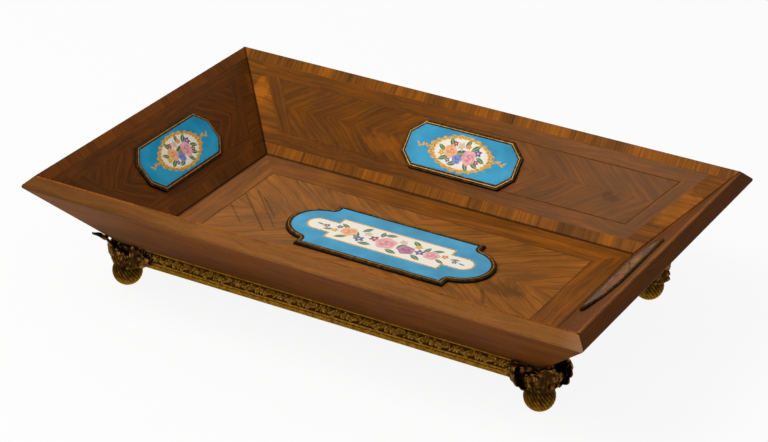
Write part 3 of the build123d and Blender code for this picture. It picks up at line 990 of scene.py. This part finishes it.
def cast_leaf(path, across, half_width, lobes, thick, crown):
    """A lobed and veined leaf along a path, which bends as cast acanthus does."""
    bpy.ops.mesh.primitive_grid_add(x_subdivisions=48, y_subdivisions=28, size=2)
    leaf = made_here("leaf")
    spine = curve_through(path, spine_steps + 1)
    relief = []
    for vertex in leaf.data.vertices:
        along = (vertex.co.x + 1) / 2
        side = vertex.co.y
        swept = min(max(along + 0.07 * abs(side) * (1 - along), 0.0), 1.0)
        at = swept * spine_steps
        first = min(int(at), spine_steps - 1)
        spot = spine[first].lerp(spine[first + 1], at - first)
        tangent = (spine[first + 1] - spine[first]).normalized()
        out = across.cross(tangent).normalized()
        body = (1 - along ** 3.2) * (0.66 + 0.34 * smooth_step(along / 0.3)) + 0.06
        phase = lobes * along + (0.25 if side > 0 else 0.55)
        lobe = abs(sin(pi * phase)) ** 0.5
        width = half_width * body * (1 - lobe_notch * (1 - lobe) - 0.02)
        vein = cos(2 * pi * phase) * abs(side)
        ripple = sin(abs(side) * 11 + along * 9) * 0.5 + 0.5
        rib = smooth_step(1 - abs(side) * 9)
        curl = crown * (1 - side * side) * (0.4 + 0.6 * body)
        height = curl - 0.7 * vein * (1 - along * 0.4) - 0.5 * rib - 0.3 * ripple * abs(side)
        vertex.co = (spot + across * (side * width) + out * height) * mm
        relief.append(0.42 - 0.24 * vein - 0.3 * rib + 0.25 * along - 0.25 * ripple)
    set_relief(leaf, relief)
    apply_modifier(leaf, "SOLIDIFY", {"thickness": thick * mm, "offset": -1})
    return leaf


# The leaves' side views from the plate to the tip, as shares of reach and height
corner_side = [(0.32, 0.0), (0.43, 0.30), (0.47, 0.60), (0.62, 0.80), (0.99, 0.975)]
side_side = [(0.47, 0.03), (0.80, 0.20), (0.94, 0.48), (0.96, 0.74), (0.82, 0.97)]
small_side = [(0.55, 0.0), (0.78, 0.28), (0.90, 0.60), (0.99, 0.84), (0.90, 1.0)]

# The tall corner leaf: reach, top above the base, half width and lobes, and its facing's slope
corner_leaf = (23.7, 10.0, 6.6, 4)
corner_turn = 1.19

# The leaves beside it: turn from it, reach, top above the base, half width, side view and lobes
mount_leaves = [
    (90, 19.0, 3.2, 5.6, side_side, 4),
    (112, 18.0, 3.0, 5.4, side_side, 3),
    (40, 12.0, -2.4, 5.0, small_side, 3),
    (64, 12.6, -4.6, 4.8, small_side, 3),
]

# A wing's path: how far along the side from the base's corner, and how far out from the base
wing_path = [(-3.6, 1.2), (3.0, 2.8), (9.0, 3.5), (15.0, 3.3), (mount_reach, 2.7)]

# The plate over each ball and the ring under it: radius, thickness and height
plate_size = (10.4, 2.7, 1.4)
plate_round = 1.1
ring_size = (7.9, 0.9, -0.3)


def standing_leaf(foot, turn, reach, top, half_width, side_view, lobes, crown):
    """A leaf that rises from the mount's plate and bends out from the ball's axis."""
    low = base_z - mount_skirt
    out = Vector((cos(radians(turn)), sin(radians(turn)), 0))
    across = Vector((-out.y, out.x, 0))
    origin = Vector((foot[0], foot[1], low))
    path = []
    for share, up in side_view:
        path.append(origin + out * (share * reach) + Vector((0, 0, up * (top - low))))
    return cast_leaf(path, across, half_width, lobes, leaf_thickness, crown)


def wing_leaf(corner, along, outward):
    """A leaf that lies on the base's side, from the corner over the strip's end."""
    middle = Vector((corner[0], corner[1], (base_z - mount_skirt + base_top - 0.3) / 2))
    path = [middle + along * run + outward * out for run, out in wing_path]
    across = Vector((0, 0, 1)) if along.cross(outward).z > 0 else Vector((0, 0, -1))
    return cast_leaf(path, across, wing_half_width, 4, wing_thickness, 0.5)


def mount_plate(foot):
    """The moulded plate and ring between the ball and the leaves."""
    radius, depth, lift = plate_size
    bpy.ops.mesh.primitive_cylinder_add(vertices=64, radius=radius * mm, depth=depth * mm)
    plate = made_here("mount_plate")
    apply_modifier(plate, "BEVEL", {"width": plate_round * mm, "segments": 4})
    radius, thick, drop = ring_size
    bpy.ops.mesh.primitive_torus_add(
        major_radius=radius * mm, minor_radius=thick * mm, major_segments=64, minor_segments=12,
    )
    ring = made_here("mount_ring")
    for piece, height, worn in ((plate, lift, 0.35), (ring, drop, 0.5)):
        place = Vector((foot[0], foot[1], base_z - mount_skirt + height)) * mm
        piece.data.transform(Matrix.Translation(place))
        set_relief(piece, [worn] * len(piece.data.vertices))
    return [plate, ring]


def corner_mounts(material):
    """The four mounts: two wings, a tall corner leaf and smaller leaves over each ball."""
    tall_reach, tall_top, tall_width, tall_lobes = corner_leaf
    for foot, name in zip(feet, ("front_right", "back_right", "back_left", "front_left")):
        sx = 1 if foot[0] > 0 else -1
        sy = 1 if foot[1] > 0 else -1
        facing = atan2(sy * corner_turn, sx) * 180 / pi
        corner = (sx * base_corner[0], sy * base_corner[1])
        top = base_top + tall_top
        pieces = mount_plate(foot) + [
            standing_leaf(foot, facing, tall_reach, top, tall_width, corner_side, tall_lobes, 1.0),
            wing_leaf(corner, Vector((-sx, 0, 0)), Vector((0, sy, 0))),
            wing_leaf(corner, Vector((0, -sy, 0)), Vector((sx, 0, 0))),
        ]
        for spread, reach, lift, half_width, side_view, lobes in mount_leaves:
            top = base_top + lift
            for turn in (facing + spread, facing - spread):
                pieces.append(
                    standing_leaf(foot, turn, reach, top, half_width, side_view, lobes, 0.9)
                )
        settle(join(pieces, "cast_mount_" + name), material, ["corner_mount_" + name])


# Moulded plaque frames: the outlines' sizes
octagon_half = (46.0, 19.2)
octagon_corner = 10.5
lobed_half = (57.5, 33.0)
lobe_centre = 55.2
lobe_radius = 24.3
notch_round = 2.5

# The moulding from its outer edge to its inner one: how far in, how high and how worn, where the
# dark outer side is patina with painted shade
moulding = [
    (0.0, 0.0, 0.0), (0.0, 1.1, 0.1), (0.3, 1.9, 0.2), (0.8, 2.2, 0.4), (1.15, 2.0, 0.0),
    (1.4, 2.2, 0.3), (1.8, 2.7, 0.8), (2.3, 2.7, 0.8), (2.7, 2.3, 0.4), (3.0, 2.1, 0.0),
    (3.3, 2.3, 0.3), (3.7, 2.5, 0.5), (4.0, 2.3, 0.1), (4.05, 2.1, -0.2),
]


def octagon_ring(inset):
    """The wall frame's eight corners, drawn in by the inset."""
    x = octagon_half[0] - inset
    y = octagon_half[1] - inset
    corner = octagon_corner - inset * (2 - 2 ** 0.5)
    quarter = [(x, y - corner), (x - corner, y)]
    half = quarter + [(-a, b) for a, b in reversed(quarter)]
    return half + [(-a, -b) for a, b in half]


def arc(centre, radius, start, end, count):
    """Points along an arc between two angles."""
    turns = [start + (end - start) * step / (count - 1) for step in range(count)]
    return [(centre[0] + radius * cos(turn), centre[1] + radius * sin(turn)) for turn in turns]


def lobed_ring(inset):
    """The floor frame's outline, drawn in by the inset: a lobe, a small round and a corner."""
    side = lobed_half[0] + notch_round
    reach = lobe_radius + notch_round
    above = (reach ** 2 - (side - lobe_centre) ** 2) ** 0.5
    turn = atan2(above, side - lobe_centre)
    quarter = arc((lobe_centre, 0), lobe_radius - inset, 0, turn, 20)
    quarter += arc((side, above), notch_round + inset, turn + pi, pi, 7)
    quarter.append((lobed_half[0] - inset, lobed_half[1] - inset))
    half = quarter + [(-a, b) for a, b in reversed(quarter[1:])]
    return half + [(-half[0][0], 0.0)] + [(-a, -b) for a, b in half[1:]]


def moulded_frame(name, ring, place, material):
    """A moulding carried round an outline, on the plane that the matrix gives."""
    rings = [ring(inset) for inset, height, relief in moulding]
    count = len(rings[0])
    steps = len(moulding) - 1
    bpy.ops.mesh.primitive_grid_add(x_subdivisions=count, y_subdivisions=steps, size=2)
    piece = made_here(name)
    relief = []
    for vertex in piece.data.vertices:
        column = round((vertex.co.x + 1) / 2 * count) % count
        row = round((vertex.co.y + 1) / 2 * steps)
        inset, height, worn = moulding[row]
        x, y = rings[row][column]
        vertex.co = place @ (Vector((x, y, height)) * mm)
        relief.append(worn)
    set_relief(piece, relief)
    bpy.ops.object.mode_set(mode="EDIT")
    bpy.ops.mesh.select_all(action="SELECT")
    bpy.ops.mesh.remove_doubles(threshold=0.001 * mm)
    bpy.ops.mesh.normals_make_consistent(inside=False)
    bpy.ops.object.mode_set(mode="OBJECT")
    settle(piece, material)
    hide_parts(name.replace("moulded", "plaque"))


def wall_matrix(side):
    """The plane of a wall's inner face at its plaque, with x to the right and y up the slope."""
    turn = {"right": -90, "back": 0, "left": 90, "front": 180}[side]
    reach = half_width if side in ("back", "front") else half_length
    out = reach + wall_plaque_up * cos(slope)
    centre = Vector((0, out, floor_z + wall_plaque_up * sin(slope))) * mm
    at_wall = Matrix.Rotation(radians(turn), 4, "Z") @ Matrix.Translation(centre)
    return at_wall @ Matrix.Rotation(slope, 4, "X")


def plaque_frames(material):
    """The moulded frames of all the plaques."""
    for side in sides:
        moulded_frame("moulded_frame_" + side, octagon_ring, wall_matrix(side), material)
    floor = Matrix.Translation(Vector((0, 0, floor_z)) * mm)
    moulded_frame("moulded_frame_floor", lobed_ring, floor, material)


# The camera, the lights and the table

# Each lamp's place in metres and its power in watts
lamps = {"key lamp": ((-0.9, -0.7, 1.5), 20), "fill lamp": ((0.5, -1.7, 0.6), 4)}
lamp_size = 1.0

plain_white = (1, 1, 1, 1)
sky_grey = (0.46, 0.46, 0.46, 1)
table_colour = (0.86, 0.86, 0.85, 1)
table_glow = 0.9
table_size = 12


def camera_axes():
    """The camera's own right, up and back directions."""
    run = cos(camera_pitch)
    back = Vector((sin(camera_yaw) * run, -cos(camera_yaw) * run, sin(camera_pitch)))
    level = Vector((cos(camera_yaw), sin(camera_yaw), 0))
    above = back.cross(level)
    right = cos(camera_roll) * level + sin(camera_roll) * above
    up = cos(camera_roll) * above - sin(camera_roll) * level
    return right, up, back


def add_camera():
    """The photograph's camera."""
    lens = bpy.data.cameras.new("camera")
    lens.sensor_width = sensor_width
    lens.lens = sensor_width * focal_pixels / photo_width
    lens.clip_start = 0.01
    camera = bpy.data.objects.new("camera", lens)
    bpy.context.scene.collection.objects.link(camera)
    turn = Matrix(camera_axes()).transposed().to_4x4()
    camera.matrix_world = Matrix.Translation(Vector(camera_place) * mm) @ turn
    bpy.context.scene.camera = camera


def add_lamp(name, place, power):
    """A square white lamp that faces the tray."""
    light = bpy.data.lights.new(name, "AREA")
    light.size = lamp_size
    light.energy = power
    lamp = bpy.data.objects.new(name, light)
    bpy.context.scene.collection.objects.link(lamp)
    lamp.location = place
    lamp.rotation_euler = (-Vector(place)).to_track_quat("-Z", "Y").to_euler()


def seen_directly(paint):
    """1 for what the camera sees straight, in a reflection or through glass, and 0 for the rest."""
    kinds = ("Camera", "Glossy", "Transmission")
    rays = [paint.node("LightPath", None, None, f"Is {kind} Ray") for kind in kinds]
    return rays[0].math("MAXIMUM", rays[1]).math("MAXIMUM", rays[2])


def add_world():
    """An even grey sky that lights the tray, and shows as white."""
    world = bpy.data.worlds.new("studio")
    bpy.context.scene.world = world
    paint = Paint(world)
    plain = paint.node("Background", None, [sky_grey, 1.0])
    white = paint.node("Background", None, [plain_white, 1.0])
    both = paint.node("MixShader", None, [seen_directly(paint), plain, white])
    paint.node("OutputWorld", None, [both])


def add_table():
    """The plain pale table, nearly white to the camera and with the tray's soft shadow."""
    paint = new_paint("table")
    pale = paint.node("BsdfDiffuse", None, [table_colour])
    glow = paint.node("Emission", None, [plain_white, 1.0])
    both = paint.node("MixShader", None, [seen_directly(paint) * table_glow, pale, glow])
    paint.node("OutputMaterial", None, [both])
    bpy.ops.mesh.primitive_plane_add(size=table_size)
    table = bpy.context.object
    table.name = "table"
    table.data.materials.append(paint.owner)


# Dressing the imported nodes

def dress(node, material):
    """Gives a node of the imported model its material."""
    slots = frame["nodes"][node].data.materials
    slots.clear()
    slots.append(material)


def dress_woods():
    """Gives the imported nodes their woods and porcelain."""
    lines = stringing()
    plain = carcase()
    for side in sides:
        dress("inner_crossband_" + side, crossband(side))
        dress("inner_banding_" + side, banding(side))
        dress("inner_field_" + side, wall_field(side))
        dress("outer_veneer_" + side, outer_veneer(side))
        dress("rim_lipping_" + side, rim(side))
        dress("wall_board_" + side, plain)
        dress("plaque_" + side, wall_plaque(side))
    dress("plaque_floor", floor_plaque())
    dress("wall_stringing", lines)
    dress("floor_stringing", lines)
    dress("floor_banding", floor_banding())
    dress("floor_field", floor_field())
    dress("base_panel", plain)


bpy.ops.object.select_all(action="DESELECT")
add_camera()
add_world()
for name, (place, power) in lamps.items():
    add_lamp(name, place, power)
add_table()
dress_woods()
gilt = patina("gilt", gilt_colours, polish=0.60)
moulding_metal = patina("moulding metal", gilt_colours, polish=0.58, sunk=0.70)
frame_metal = patina("frame metal", frame_colours)
for name in frame["nodes"]:
    if name.startswith("base_moulding"):
        dress(name, moulding_metal)
    elif name.startswith(("foot_studs", "moulding_pins", "frame_pins")):
        dress(name, gilt)
strip_metal = patina("strip metal", strip_colours)
mount_metal = patina("mount metal", mount_colours)
ball_metal = patina("ball metal", ball_colours)
plaque_frames(frame_metal)
foot_balls(ball_metal)
strip_reliefs(strip_metal)
corner_mounts(mount_metal)

bpy.context.scene.view_settings.view_transform = "Standard"
